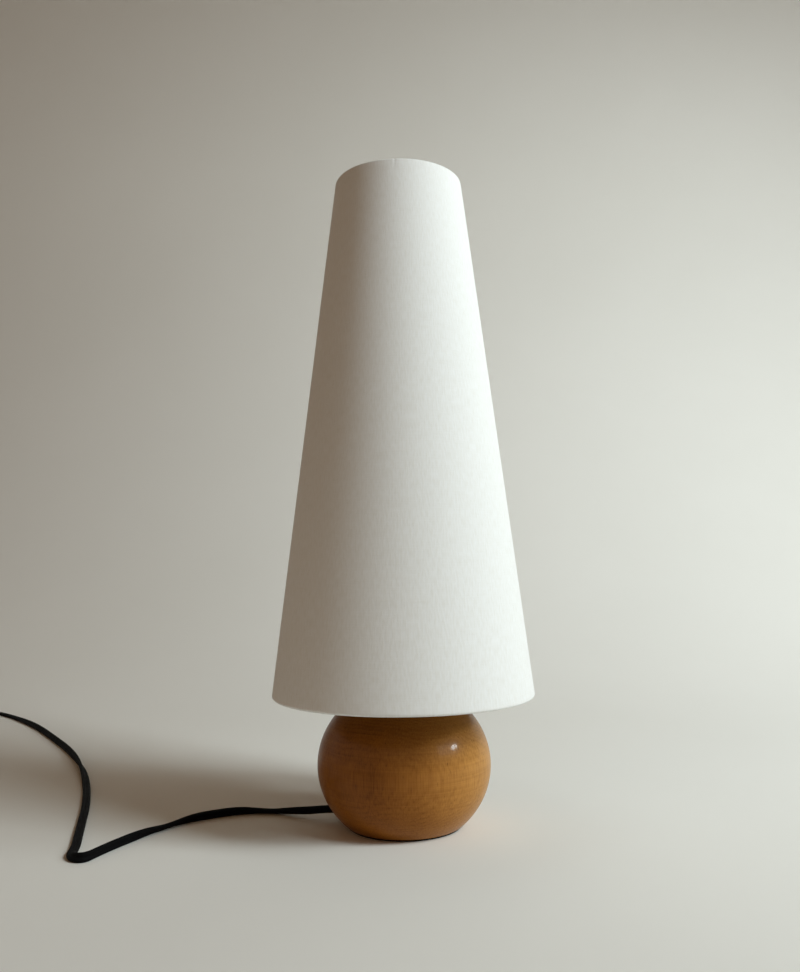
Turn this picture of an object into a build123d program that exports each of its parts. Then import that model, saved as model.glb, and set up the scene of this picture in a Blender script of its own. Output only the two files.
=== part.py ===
from build123d import *

import math
import os

# A table lamp: a turned wooden ball carries a socket and a harp, and a tall fabric cone hangs on the harp.
# It stands on z = 0 with its axis on Z, and its switch and viewer are on the -Y side. Millimetres.

# Shade
lamp_height = 509.0
shade_height = 411.0
shade_bottom_r = 101.6
shade_top_r = 51.4
cloth_t = 0.5
liner_t = 0.5
glue_gap = 0.3
ring_wire_d = 2.5
hem_wrap_deg = 170.0
spider_drop = 20.0
spider_wire_d = 2.2
spider_lean = 7.3
spider_bend_r = 6.0
spider_arm_count = 3
spider_front_deg = 270.0
spider_washer_r = 10.0
spider_washer_t = 1.5
spider_arm_start_r = 7.6

# Wooden base and what holds it together
ball_r = 67.0
ball_half_height = 60.5
ball_equator_z = 46.3
ball_flat_r = 20.0
ball_outline_steps = 12
foot_round = 1.5
felt_t = 1.5
felt_r = 43.0
recess_r = 26.0
recess_depth = 30.0
pipe_d = 10.2
pipe_bore_d = 7.4
pipe_clearance = 0.25
pipe_tail = 2.5
washer_r = 16.0
washer_t = 2.0
lock_washer_r = 8.6
lock_washer_t = 1.2
lock_washer_split = 1.6
nut_across_flats = 15.9
nut_t = 5.0
check_ring_r = 18.0
check_ring_t = 3.0
neck_r = 8.0
neck_waist_r = 7.0
neck_h = 20.0

# Harp and its saddle
saddle_t = 1.5
saddle_w = 13.0
ear_x = 36.0
ear_w = 6.0
ear_h = 16.0
harp_wire_d = 4.0
harp_leg = 42.0
harp_shoulder_rise = 36.0
harp_half_width = 50.0
harp_waist_rise = 130.0
harp_waist_half_width = 42.0
harp_top_half_width = 15.0
harp_bend_radii = (26.0, 60.0, 220.0, 9.0)
sleeve_l = 17.0
sleeve_wall = 0.8
crown_r = 6.5
stud_shank_r = 3.25
stud_thread_r = 3.1
stud_thread_l = 12.0
stud_flange_r = 7.0
stud_flange_t = 1.6
stud_rivet_r = 5.0
stud_rivet_t = 1.2
finial_r = 6.4
finial_waist_r = 4.3
finial_foot_h = 2.5
finial_h = 16.0

# Socket
hub_r = 7.5
hub_h = 7.0
cap_r = 17.5
cap_flare_h = 5.0
cap_wall = 0.8
cap_h = 24.0
set_screw_r = 1.5
set_screw_l = 4.5
set_screw_rise = 3.2
shell_r = 16.5
shell_wall = 0.6
shell_bead_r = 0.8
socket_h = 62.0
liner_sleeve_wall = 0.7
body_r = 14.2
body_flat_x = 11.0
body_rise = 16.0
body_h = 22.0
screw_shell_r = 13.8
screw_shell_wall = 0.4
screw_shell_h = 21.0
contact_r = 4.0
contact_t = 0.8
contact_rise = 3.0
terminal_rise = 11.0
terminal_head_r = 3.0
terminal_head_t = 2.0
terminal_shank_r = 1.5
terminal_shank_l = 4.0
lead_d = 2.4
switch_rise = 13.0
switch_shaft_r = 1.75
switch_shaft_depth = 10.0
switch_shaft_out = 16.0
knob_hub_r = 4.5
knob_hub_l = 5.0
knob_wing_w = 17.0
knob_wing_t = 5.5
knob_wing_l = 14.0
knob_round = 1.2

# Bulb
bulb_length = 108.0
bulb_r = 30.0
bulb_taper_deg = 28.0
bulb_glass_t = 1.0
bulb_neck_r = 12.2
bulb_neck_in_cap = 6.0
bulb_cap_r = 13.0
bulb_cap_wall = 0.6
bulb_cap_h = 21.0
bulb_insulator_h = 3.5
bulb_insulator_r = 11.5
bulb_tip_r = 4.6
bulb_tip_t = 1.5

# Cord: a flat twin lead, lying on the surface that the lamp stands on, with its spare length coiled
cord_w = 6.8
cord_t = 3.5
cord_exit_deg = 170.0
cord_hole_z = 9.0
cord_hole_r = 4.6
cord_lead_out = 12.5
bushing_wall = 0.85
bushing_l = 18.0
coil_mean_r = 39.0
coil_layer_turns = 1.5
coil_side_gap = 0.7
coil_layer_gap = 1.1
coil_climb_dip = 3.75
coil_tail = 36.0
tie_t = 0.8
tie_gap = 0.6
tie_w = 8.0
tie_turn_deg = 90.0
plug_l = 26.0
plug_w = 24.0
plug_rear_w = 11.0
plug_taper_l = 15.0
plug_round = 2.0
plug_relief_l = 24.0
plug_relief_w = 8.8
plug_relief_t = 5.6
plug_relief_front_w = 10.4
plug_relief_front_t = 8.4
plug_relief_round = 2.4
grip_count = 3
grip_pitch = 3.2
grip_w = 1.2
grip_depth = 0.7
blade_l = 17.0
blade_t = 1.5
blade_spacing = 12.7
blade_narrow_w = 6.3
blade_wide_w = 7.9
blade_chamfer = 1.2
blade_hole_r = 1.6
blade_hole_inset = 4.5

# Clearances
fixed_gap = 0.2
moving_gap = 0.3
running_gap = 0.05

os.makedirs("parts", exist_ok=True)

# Heights of the stack, from the floor up
wood_top_z = ball_equator_z + ball_half_height * math.sqrt(1 - (ball_flat_r / ball_r) ** 2)
recess_top_z = felt_t + recess_depth
washer_z = recess_top_z - washer_t
lock_washer_z = washer_z - lock_washer_t
nut_z = lock_washer_z - nut_t
pipe_bottom_z = nut_z - pipe_tail
neck_z = wood_top_z + check_ring_t
saddle_z = neck_z + neck_h
socket_z = saddle_z + saddle_t
hub_top_z = socket_z + hub_h
cup_z = hub_top_z + cap_flare_h
body_z = socket_z + body_rise
body_top_z = body_z + body_h
switch_z = body_z + switch_rise
terminal_z = body_z + terminal_rise
bulb_z = body_top_z + contact_rise + moving_gap
pipe_r = pipe_d / 2
pipe_hole_r = pipe_r + pipe_clearance

# Heights of the shade's fitting, from the top rim down
roll_r = ring_wire_d / 2 + glue_gap + cloth_t
top_ring_z = lamp_height - roll_r
top_ring_r = shade_top_r - roll_r
bottom_ring_z = lamp_height - shade_height + roll_r
bottom_ring_r = shade_bottom_r - roll_r
spider_z = top_ring_z - spider_drop
flange_top_z = spider_z - spider_washer_t / 2 - moving_gap
crown_top_z = flange_top_z - stud_flange_t - running_gap
harp_top_z = crown_top_z - harp_wire_d / 2
finial_z = spider_z + spider_washer_t / 2 + moving_gap


def ball_radius(z):
    """Radius of the wooden ball's surface at a height."""
    return ball_r * math.sqrt(1 - ((z - ball_equator_z) / ball_half_height) ** 2)


def ring(outer_r, inner_r):
    """Draws a flat ring in the open sketch."""
    Circle(outer_r)
    Circle(inner_r, mode=Mode.SUBTRACT)


# Wooden ball: an ellipsoid cut flat at its foot and top, drilled for the pipe and the cord
exit_angle = math.radians(cord_exit_deg)
exit_way = Vector(math.cos(exit_angle), math.sin(exit_angle), 0)
exit_side = Vector(-math.sin(exit_angle), math.cos(exit_angle), 0)
exit_plane = Plane(origin=(0, 0, cord_hole_z), x_dir=exit_side, z_dir=exit_way)
foot_angle = math.asin((felt_t - ball_equator_z) / ball_half_height)
flat_angle = math.acos(ball_flat_r / ball_r)


def ball_outline():
    """Points up the ball's side from foot to top, and the outline's directions at its ends."""
    points = []
    for step in range(ball_outline_steps + 1):
        angle = foot_angle + (flat_angle - foot_angle) * step / ball_outline_steps
        points.append((ball_r * math.cos(angle), ball_equator_z + ball_half_height * math.sin(angle)))
    ways = [(-ball_r * math.sin(a), ball_half_height * math.cos(a)) for a in (foot_angle, flat_angle)]
    return points, ways


ball_points, ball_ways = ball_outline()

with BuildPart() as wood_base:
    with BuildSketch(Plane.XZ):
        with BuildLine():
            Spline(*ball_points, tangents=ball_ways)
            Polyline(ball_points[-1], (0, wood_top_z), (0, felt_t), ball_points[0])
        make_face()
    revolve(axis=Axis.Z)
    fillet(wood_base.edges().group_by(Axis.Z)[0], foot_round)
    with BuildSketch(Plane.XY.offset(felt_t)):
        Circle(recess_r)
    extrude(amount=recess_depth, mode=Mode.SUBTRACT)
    with BuildSketch(Plane.XY.offset(felt_t)):
        Circle(pipe_hole_r)
    extrude(amount=wood_top_z, mode=Mode.SUBTRACT)
    with BuildSketch(exit_plane):
        Circle(cord_hole_r)
    extrude(amount=ball_r, mode=Mode.SUBTRACT)

with BuildPart() as felt_pad:
    with BuildSketch():
        Circle(felt_r)
    extrude(amount=felt_t)

# Threaded pipe, and the nut and washers that draw it up against the wood
with BuildPart() as lamp_pipe:
    with BuildSketch(Plane.XY.offset(pipe_bottom_z)):
        ring(pipe_r, pipe_bore_d / 2)
    extrude(amount=hub_top_z - pipe_bottom_z)
    chamfer(lamp_pipe.edges().filter_by(GeomType.CIRCLE), (pipe_d - pipe_bore_d) / 8)

with BuildPart() as base_washer:
    with BuildSketch(Plane.XY.offset(washer_z)):
        ring(washer_r, pipe_hole_r)
    extrude(amount=washer_t)

with BuildPart() as lock_washer:
    with BuildSketch(Plane.XY.offset(lock_washer_z)):
        ring(lock_washer_r, pipe_hole_r)
        with Locations((lock_washer_r, 0)):
            Rectangle(2 * lock_washer_r, lock_washer_split, mode=Mode.SUBTRACT)
    extrude(amount=lock_washer_t)

with BuildPart() as base_nut:
    with BuildSketch(Plane.XY.offset(nut_z)):
        RegularPolygon(nut_across_flats / 2, 6, major_radius=False)
        Circle(pipe_r + fixed_gap, mode=Mode.SUBTRACT)
    extrude(amount=nut_t)

# Brass ring and neck that stand the socket on the ball
with BuildPart() as check_ring:
    with BuildSketch(Plane.XY.offset(wood_top_z)):
        ring(check_ring_r, pipe_hole_r)
    extrude(amount=check_ring_t)
    fillet(check_ring.edges().group_by(Axis.Z)[-1].sort_by(SortBy.RADIUS)[-1], check_ring_t / 2)

with BuildPart() as neck:
    with BuildSketch(Plane.XZ):
        with BuildLine():
            ThreePointArc(
                (neck_r, neck_z), (neck_waist_r, neck_z + neck_h / 2), (neck_r, neck_z + neck_h)
            )
            Polyline(
                (neck_r, neck_z + neck_h),
                (pipe_hole_r, neck_z + neck_h),
                (pipe_hole_r, neck_z),
                (neck_r, neck_z),
            )
        make_face()
    revolve(axis=Axis.Z)

# Harp: a saddle clamped under the socket, a sprung wire hoop, and two sleeves that lock it on the ears
leg_x = ear_x + saddle_t / 2 + moving_gap + harp_wire_d / 2
sleeve_x = (ear_x - saddle_t / 2 + leg_x + harp_wire_d / 2) / 2
sleeve_bore_r = math.hypot(sleeve_x - ear_x + saddle_t / 2, ear_w / 2) + moving_gap
sleeve_r = sleeve_bore_r + sleeve_wall
harp_foot_z = socket_z + moving_gap
harp_shoulder_z = harp_foot_z + harp_leg + harp_shoulder_rise
harp_waist_z = harp_shoulder_z + harp_waist_rise

with BuildPart() as harp_saddle:
    with BuildSketch(Plane.XY.offset(saddle_z)):
        SlotOverall(2 * (sleeve_x + saddle_w / 2), saddle_w)
        Circle(pipe_hole_r, mode=Mode.SUBTRACT)
    extrude(amount=saddle_t)
    with BuildSketch(Plane.XY.offset(socket_z)):
        with Locations((-ear_x, 0), (ear_x, 0)):
            Rectangle(saddle_t, ear_w)
    extrude(amount=ear_h)

harp_half = [
    (leg_x, harp_foot_z),
    (leg_x, harp_foot_z + harp_leg),
    (harp_half_width, harp_shoulder_z),
    (harp_waist_half_width, harp_waist_z),
    (harp_top_half_width, harp_top_z),
]
harp_points = harp_half + [(-x, z) for x, z in reversed(harp_half)]
harp_radii = list(harp_bend_radii) + list(reversed(harp_bend_radii))

with BuildPart() as harp_hoop:
    with BuildLine(Plane.XZ):
        FilletPolyline(*harp_points, radius=harp_radii)
    with BuildSketch(Plane.XY.offset(harp_foot_z)):
        with Locations((leg_x, 0)):
            Circle(harp_wire_d / 2)
    sweep()
    with BuildSketch(Plane.XY.offset(crown_top_z - harp_wire_d)):
        Circle(crown_r)
    extrude(amount=harp_wire_d)
    with BuildSketch(Plane.XY.offset(crown_top_z - 2 * harp_wire_d)):
        Circle(stud_shank_r + running_gap)
    extrude(amount=3 * harp_wire_d, mode=Mode.SUBTRACT)


def sleeve_outline(x):
    """Draws a locking sleeve's section around one leg."""
    with Locations((x, 0)):
        ring(sleeve_r, sleeve_bore_r)


with BuildPart() as harp_sleeve_right:
    with BuildSketch(Plane.XY.offset(harp_foot_z)):
        sleeve_outline(sleeve_x)
    extrude(amount=sleeve_l)

with BuildPart() as harp_sleeve_left:
    with BuildSketch(Plane.XY.offset(harp_foot_z)):
        sleeve_outline(-sleeve_x)
    extrude(amount=sleeve_l)

crown_bottom_z = crown_top_z - harp_wire_d
with BuildPart() as harp_stud:
    with BuildSketch(Plane.XZ):
        with BuildLine():
            Polyline(
                (0, crown_bottom_z - running_gap - stud_rivet_t),
                (stud_rivet_r, crown_bottom_z - running_gap - stud_rivet_t),
                (stud_rivet_r, crown_bottom_z - running_gap),
                (stud_shank_r, crown_bottom_z - running_gap),
                (stud_shank_r, crown_top_z + running_gap),
                (stud_flange_r, crown_top_z + running_gap),
                (stud_flange_r, flange_top_z),
                (stud_thread_r, flange_top_z),
                (stud_thread_r, flange_top_z + stud_thread_l),
                (0, flange_top_z + stud_thread_l),
                close=True,
            )
        make_face()
    revolve(axis=Axis.Z)

# Finial: a turned brass knob screwed down on the stud
finial_top_z = finial_z + finial_h
finial_waist_z = finial_z + 2 * finial_foot_h
finial_bore_top_z = flange_top_z + stud_thread_l + moving_gap
with BuildPart() as finial:
    with BuildSketch(Plane.XZ):
        with BuildLine():
            Polyline(
                (0, finial_top_z),
                (0, finial_z),
                (finial_r, finial_z),
                (finial_r, finial_z + finial_foot_h),
                (finial_waist_r, finial_waist_z),
            )
            bulge = TangentArc(
                (finial_waist_r, finial_waist_z), (finial_waist_r, finial_top_z - finial_foot_h), tangent=(1, 1)
            )
            Line(bulge @ 1, (0, finial_top_z))
        make_face()
    revolve(axis=Axis.Z)
    with BuildSketch(Plane.XY.offset(finial_z)):
        Circle(stud_thread_r + fixed_gap)
    extrude(amount=finial_bore_top_z - finial_z, mode=Mode.SUBTRACT)

# Socket, from the threaded cap up
with BuildPart() as socket_cap:
    with BuildSketch(Plane.XZ):
        with BuildLine():
            Polyline(
                (pipe_r + running_gap, socket_z),
                (hub_r, socket_z),
                (hub_r, hub_top_z),
                (cap_r, cup_z),
                (cap_r, socket_z + cap_h),
                (cap_r - cap_wall, socket_z + cap_h),
                (cap_r - cap_wall, cup_z + cap_wall),
                (hub_r, hub_top_z + cap_wall),
                (pipe_r + running_gap, hub_top_z + cap_wall),
                close=True,
            )
        make_face()
    revolve(axis=Axis.Z)
    with BuildSketch(Plane.XZ):
        with Locations((0, socket_z + set_screw_rise)):
            Circle(set_screw_r + running_gap)
    extrude(amount=-2 * hub_r, mode=Mode.SUBTRACT)

with BuildPart() as cap_set_screw:
    with BuildSketch(Plane.XZ.offset(-(pipe_r + running_gap))):
        with Locations((0, socket_z + set_screw_rise)):
            Circle(set_screw_r)
    extrude(amount=-set_screw_l)

shell_bottom_z = cup_z + cap_wall + fixed_gap
shell_top_z = socket_z + socket_h
liner_sleeve_r = shell_r - shell_wall - fixed_gap
switch_hole_r = switch_shaft_r + 2 * moving_gap

with BuildPart() as socket_shell:
    with BuildSketch(Plane.XY.offset(shell_bottom_z)):
        ring(shell_r, shell_r - shell_wall)
    extrude(amount=shell_top_z - shell_bottom_z)
    with BuildSketch(Plane.XZ):
        with Locations((shell_r, shell_top_z)):
            Circle(shell_bead_r)
    revolve(axis=Axis.Z)
    with BuildSketch(Plane.XZ):
        with Locations((0, switch_z)):
            Circle(switch_hole_r)
    extrude(amount=2 * shell_r, mode=Mode.SUBTRACT)

with BuildPart() as socket_liner:
    with BuildSketch(Plane.XY.offset(shell_bottom_z)):
        ring(liner_sleeve_r, liner_sleeve_r - liner_sleeve_wall)
    extrude(amount=shell_top_z - shell_bottom_z)
    with BuildSketch(Plane.XZ):
        with Locations((0, switch_z)):
            Circle(switch_hole_r)
    extrude(amount=2 * shell_r, mode=Mode.SUBTRACT)

shaft_inner_y = body_r - switch_shaft_depth
with BuildPart() as socket_body:
    with BuildSketch(Plane.XY.offset(body_z)):
        Circle(body_r)
        Rectangle(2 * body_flat_x, 2 * body_r, mode=Mode.INTERSECT)
    extrude(amount=body_h)
    with BuildSketch(Plane.XZ.offset(shaft_inner_y - moving_gap)):
        with Locations((0, switch_z)):
            Circle(switch_shaft_r + running_gap)
    extrude(amount=body_r, mode=Mode.SUBTRACT)
    with BuildSketch(Plane.YZ.offset(-body_r)):
        with Locations((0, terminal_z)):
            Circle(terminal_shank_r + running_gap)
    terminal_hole_l = body_r - body_flat_x + terminal_shank_l + moving_gap
    extrude(amount=terminal_hole_l, mode=Mode.SUBTRACT)
    with BuildSketch(Plane.YZ.offset(body_r)):
        with Locations((0, terminal_z)):
            Circle(terminal_shank_r + running_gap)
    extrude(amount=-terminal_hole_l, mode=Mode.SUBTRACT)

with BuildPart() as terminal_screws:
    for way in (-1, 1):
        with BuildSketch(Plane.YZ.offset(way * body_flat_x)):
            with Locations((0, terminal_z)):
                Circle(terminal_head_r)
        extrude(amount=way * terminal_head_t)
        with BuildSketch(Plane.YZ.offset(way * body_flat_x)):
            with Locations((0, terminal_z)):
                Circle(terminal_shank_r)
        extrude(amount=-way * terminal_shank_l)

with BuildPart() as screw_shell:
    with BuildSketch(Plane.XY.offset(body_top_z)):
        ring(screw_shell_r, screw_shell_r - screw_shell_wall)
    extrude(amount=screw_shell_h)
    with BuildSketch(Plane.XY.offset(body_top_z)):
        ring(screw_shell_r, contact_r + 2 * moving_gap)
    extrude(amount=screw_shell_wall)

with BuildPart() as centre_contact:
    with BuildSketch(Plane.XY.offset(body_top_z)):
        Circle(contact_r)
    extrude(amount=contact_t)
    with BuildSketch(Plane.XY.offset(body_top_z + contact_t)):
        Circle(contact_r / 2)
    extrude(amount=contact_rise - contact_t)

with BuildPart() as switch_shaft:
    with BuildSketch(Plane.XZ.offset(shaft_inner_y)):
        with Locations((0, switch_z)):
            Circle(switch_shaft_r)
    extrude(amount=switch_shaft_depth + switch_shaft_out)

knob_y = body_r + switch_shaft_out - knob_hub_l
with BuildPart() as switch_knob:
    with BuildSketch(Plane.XZ.offset(knob_y)):
        with Locations((0, switch_z)):
            Circle(knob_hub_r)
    extrude(amount=knob_hub_l)
    with BuildSketch(Plane.XZ.offset(knob_y + knob_hub_l)):
        with Locations((0, switch_z)):
            SlotOverall(knob_wing_w, knob_wing_t)
    extrude(amount=knob_wing_l)
    fillet(switch_knob.faces().sort_by(Axis.Y)[0].edges(), knob_round)
    with BuildSketch(Plane.XZ.offset(knob_y)):
        with Locations((0, switch_z)):
            Circle(switch_shaft_r + running_gap)
    extrude(amount=knob_hub_l + moving_gap, mode=Mode.SUBTRACT)

# Bulb: an opal glass envelope bonded into a screw cap, with its insulator and tip contact
bulb_cap_z = bulb_z + bulb_tip_t + bulb_insulator_h
bulb_neck_z = bulb_cap_z + bulb_cap_h - bulb_neck_in_cap
bulb_centre_z = bulb_z + bulb_length - bulb_r
taper = math.radians(bulb_taper_deg)


def bulb_outline(inset):
    """Draws the envelope's half section, drawn in by an inset, in the open line."""
    dome_r = bulb_r - inset
    throat_r = bulb_neck_r - inset
    throat_drop = (dome_r * math.cos(taper) - throat_r) / math.tan(taper)
    dome = CenterArc((0, bulb_centre_z), dome_r, -bulb_taper_deg, 90 + bulb_taper_deg)
    Polyline(
        dome @ 0,
        (throat_r, bulb_centre_z - dome_r * math.sin(taper) - throat_drop),
        (throat_r, bulb_neck_z - inset),
        (0, bulb_neck_z - inset),
        dome @ 1,
    )


with BuildPart() as bulb_globe:
    with BuildSketch(Plane.XZ):
        with BuildLine():
            bulb_outline(0)
        make_face()
    revolve(axis=Axis.Z)
    with BuildSketch(Plane.XZ):
        with BuildLine():
            bulb_outline(bulb_glass_t)
        make_face()
    revolve(axis=Axis.Z, mode=Mode.SUBTRACT)

with BuildPart() as bulb_cap:
    with BuildSketch(Plane.XY.offset(bulb_cap_z)):
        Circle(bulb_cap_r)
    extrude(amount=bulb_cap_h)
    with BuildSketch(Plane.XY.offset(bulb_cap_z + bulb_cap_wall)):
        Circle(bulb_cap_r - bulb_cap_wall)
    extrude(amount=bulb_cap_h, mode=Mode.SUBTRACT)

with BuildPart() as bulb_insulator:
    with BuildSketch(Plane.XY.offset(bulb_cap_z - bulb_insulator_h)):
        Circle(bulb_tip_r)
    with BuildSketch(Plane.XY.offset(bulb_cap_z)):
        Circle(bulb_insulator_r)
    loft()

with BuildPart() as bulb_tip:
    with BuildSketch(Plane.XY.offset(bulb_z)):
        Circle(bulb_tip_r)
    extrude(amount=bulb_tip_t)
    fillet(bulb_tip.edges().group_by(Axis.Z)[0], bulb_tip_t / 2)

# Shade: cloth laminated on a stiff liner, its edges rolled round two wire rings
slope = Vector(top_ring_r - bottom_ring_r, top_ring_z - bottom_ring_z)
along = slope.normalized()
outward = Vector(along.Y, -along.X)
outward_deg = math.degrees(math.atan2(outward.Y, outward.X))
bottom_wire = Vector(bottom_ring_r, bottom_ring_z)
top_wire = Vector(top_ring_r, top_ring_z)
tuck_r = roll_r - cloth_t

with BuildPart() as shade_cover:
    with BuildSketch(Plane.XZ):
        with BuildLine():
            low_out = CenterArc(bottom_wire, roll_r, outward_deg - hem_wrap_deg, hem_wrap_deg)
            high_out = CenterArc(top_wire, roll_r, outward_deg, hem_wrap_deg)
            low_in = CenterArc(bottom_wire, tuck_r, outward_deg - hem_wrap_deg, hem_wrap_deg)
            high_in = CenterArc(top_wire, tuck_r, outward_deg, hem_wrap_deg)
            Line(low_out @ 1, high_out @ 0)
            Line(high_out @ 1, high_in @ 1)
            Line(low_in @ 1, high_in @ 0)
            Line(low_out @ 0, low_in @ 0)
        make_face()
    revolve(axis=Axis.Z)

liner_out = outward * (tuck_r - glue_gap)
liner_in = outward * (tuck_r - glue_gap - liner_t)
liner_end = along * (roll_r + fixed_gap)
with BuildPart() as shade_liner:
    with BuildSketch(Plane.XZ):
        with BuildLine():
            Polyline(
                bottom_wire + liner_out + liner_end,
                top_wire + liner_out - liner_end,
                top_wire + liner_in - liner_end,
                bottom_wire + liner_in + liner_end,
                close=True,
            )
        make_face()
    revolve(axis=Axis.Z)

with BuildPart() as shade_bottom_ring:
    with BuildSketch(Plane.XZ):
        with Locations((bottom_ring_r, bottom_ring_z)):
            Circle(ring_wire_d / 2)
    revolve(axis=Axis.Z)

# Top ring, arms and washer are welded into one fitter
with BuildPart() as shade_spider:
    with BuildSketch(Plane.XZ):
        with Locations((top_ring_r, top_ring_z)):
            Circle(ring_wire_d / 2)
    revolve(axis=Axis.Z)
    with BuildSketch(Plane.XY.offset(spider_z - spider_washer_t / 2)):
        ring(spider_washer_r, stud_thread_r + moving_gap)
    extrude(amount=spider_washer_t)
    for arm in range(spider_arm_count):
        arm_angle = math.radians(spider_front_deg + arm * 360 / spider_arm_count)
        arm_way = (math.cos(arm_angle), math.sin(arm_angle), 0)
        arm_plane = Plane(origin=(0, 0, 0), x_dir=arm_way, z_dir=(arm_way[1], -arm_way[0], 0))
        with BuildLine(arm_plane) as arm_line:
            FilletPolyline(
                (spider_arm_start_r, spider_z),
                (top_ring_r - spider_lean, spider_z),
                (top_ring_r, top_ring_z),
                radius=spider_bend_r,
            )
        with BuildSketch(Plane(origin=arm_line.line @ 0, z_dir=arm_way)):
            Circle(spider_wire_d / 2)
        sweep()

# Cord inside the lamp: through the bushing, up the pipe, and split into two leads at the socket
bushing_end_r = ball_radius(cord_hole_z - cord_hole_r) - fixed_gap
bushing_r = cord_hole_r - running_gap
inner_bend_r = pipe_bottom_z - cord_hole_z
cord_top_z = hub_top_z + cap_wall + moving_gap
exit_upright = Plane(origin=(0, 0, 0), x_dir=exit_way, z_dir=(exit_way.Y, -exit_way.X, 0))

with BuildPart() as cord_bushing:
    with BuildSketch(exit_plane.offset(bushing_end_r - bushing_l)):
        ring(bushing_r, bushing_r - bushing_wall)
    extrude(amount=bushing_l)

with BuildPart() as cord_inner:
    with BuildLine(exit_upright):
        FilletPolyline(
            (bushing_end_r, cord_hole_z), (0, cord_hole_z), (0, cord_top_z), radius=inner_bend_r
        )
    with BuildSketch(exit_plane.offset(bushing_end_r)):
        SlotOverall(cord_w, cord_t)
    sweep()

lead_x = body_flat_x + lead_d / 2 + moving_gap
lead_side = (cord_w - lead_d) / 2 - fixed_gap
lead_turn_z = cord_top_z + lead_d
lead_top_z = terminal_z - terminal_head_r
with BuildPart() as socket_leads:
    for way in (-1, 1):
        start = exit_side * (way * lead_side)
        with BuildLine() as lead_line:
            FilletPolyline(
                (start.X, start.Y, cord_top_z),
                (start.X, start.Y, lead_turn_z),
                (-way * lead_x, 0, lead_turn_z + lead_d),
                (-way * lead_x, 0, lead_top_z),
                radius=lead_d,
            )
        with BuildSketch(Plane(origin=lead_line.line @ 0, z_dir=(0, 0, 1))):
            Circle(lead_d / 2)
        sweep()

# Cord outside the lamp. Its points are chosen by hand along the line that it lies on.
lying_z = 2.1
lower_z = tie_t + tie_gap + cord_t / 2
exit_point = exit_way * bushing_end_r + Vector(0, 0, cord_hole_z)
run_points = [
    exit_point,
    exit_point + exit_way * cord_lead_out,
    Vector(-74, 15, 5.4),
    Vector(-92, 25, 2.4),
    Vector(-117, 37.5, lying_z),
    Vector(-144, 34, lying_z),
    Vector(-168, 15.5, lying_z),
    Vector(-187, -7, lying_z),
    Vector(-200, -35, lying_z),
    Vector(-209, -56, lying_z),
    Vector(-215, -68, lying_z),
    Vector(-220.5, -77.5, lying_z),
    Vector(-231.2, -75.3, lying_z),
    Vector(-233, -63, lying_z),
    Vector(-239.5, -38, lying_z),
    Vector(-249, 0, lying_z),
    Vector(-264, 49, lying_z),
    Vector(-287, 113, lying_z),
    Vector(-317, 185, lying_z),
    Vector(-359, 262, lying_z),
    Vector(-404, 332, lying_z),
    Vector(-452, 404, lying_z),
    Vector(-496, 457, lying_z),
    Vector(-535, 493, lower_z),
    Vector(-567, 516, lower_z),
]


def run_radii(points):
    """Largest arc that each corner of a route leaves room for."""
    radii = []
    for before, corner, after in zip(points, points[1:], points[2:]):
        turn = math.radians((corner - before).get_angle(after - corner))
        shorter = min((corner - before).length, (after - corner).length)
        radii.append(0.45 * shorter / math.tan(turn / 2))
    return radii


corner_radii = run_radii(run_points)
with BuildPart() as cord_run:
    with BuildLine() as run_line:
        FilletPolyline(*run_points, radius=corner_radii)
    with BuildSketch(exit_plane.offset(bushing_end_r)):
        SlotOverall(cord_w, cord_t)
    sweep()

# Coil of the spare length: it spirals in on one layer, climbs, and spirals out on the next
coil_pitch = cord_w + coil_side_gap
coil_step = cord_t + coil_layer_gap
coil_outer_r = coil_mean_r + coil_pitch * coil_layer_turns / 2
coil_inner_r = coil_mean_r - coil_pitch * coil_layer_turns / 2
upper_z = lower_z + coil_step
climb_end = coil_layer_turns + 0.5
coil_turns = 2 * coil_layer_turns + 0.5
coil_start = run_points[-1]
heading = (run_points[-1] - run_points[-2]).normalized()
coil_left = Vector(-heading.Y, heading.X, 0)
coil_centre = coil_start + heading * cord_w + coil_left * coil_outer_r
coil_start_angle = math.atan2(-coil_left.Y, -coil_left.X)


def coil_point(turns):
    """Point on the coil's middle line after a number of turns."""
    if turns <= coil_layer_turns:
        radius = coil_outer_r - coil_pitch * turns
        height = lower_z
    elif turns < climb_end:
        share = (turns - coil_layer_turns) / (climb_end - coil_layer_turns)
        radius = coil_inner_r - coil_climb_dip * math.sin(math.pi * share)
        height = lower_z + coil_step * share * share * (3 - 2 * share)
    else:
        radius = coil_inner_r + coil_pitch * (turns - climb_end)
        height = upper_z
    angle = coil_start_angle + 2 * math.pi * turns
    flat = Vector(radius * math.cos(angle), radius * math.sin(angle), 0)
    return Vector(coil_centre.X, coil_centre.Y, height) + flat


def coil_way(turns):
    """Direction of the coil's middle line, square to the ends' straight pieces at both ends."""
    if turns <= 0:
        return heading
    if turns >= coil_turns:
        return heading * -1
    return (coil_point(turns + 0.01) - coil_point(turns - 0.01)).normalized()


def biarc(start, start_way, end, end_way):
    """Adds two arcs that leave one point and reach another along given directions."""
    chord = end - start
    both = start_way + end_way
    spread = 2 * (1 - start_way.dot(end_way))
    lean = chord.dot(both)
    reach = (math.sqrt(lean * lean + spread * chord.dot(chord)) - lean) / spread
    middle = (start + start_way * reach + end - end_way * reach) * 0.5
    first = TangentArc(start, middle, tangent=start_way)
    TangentArc(middle, end, tangent=first % 1)


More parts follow.
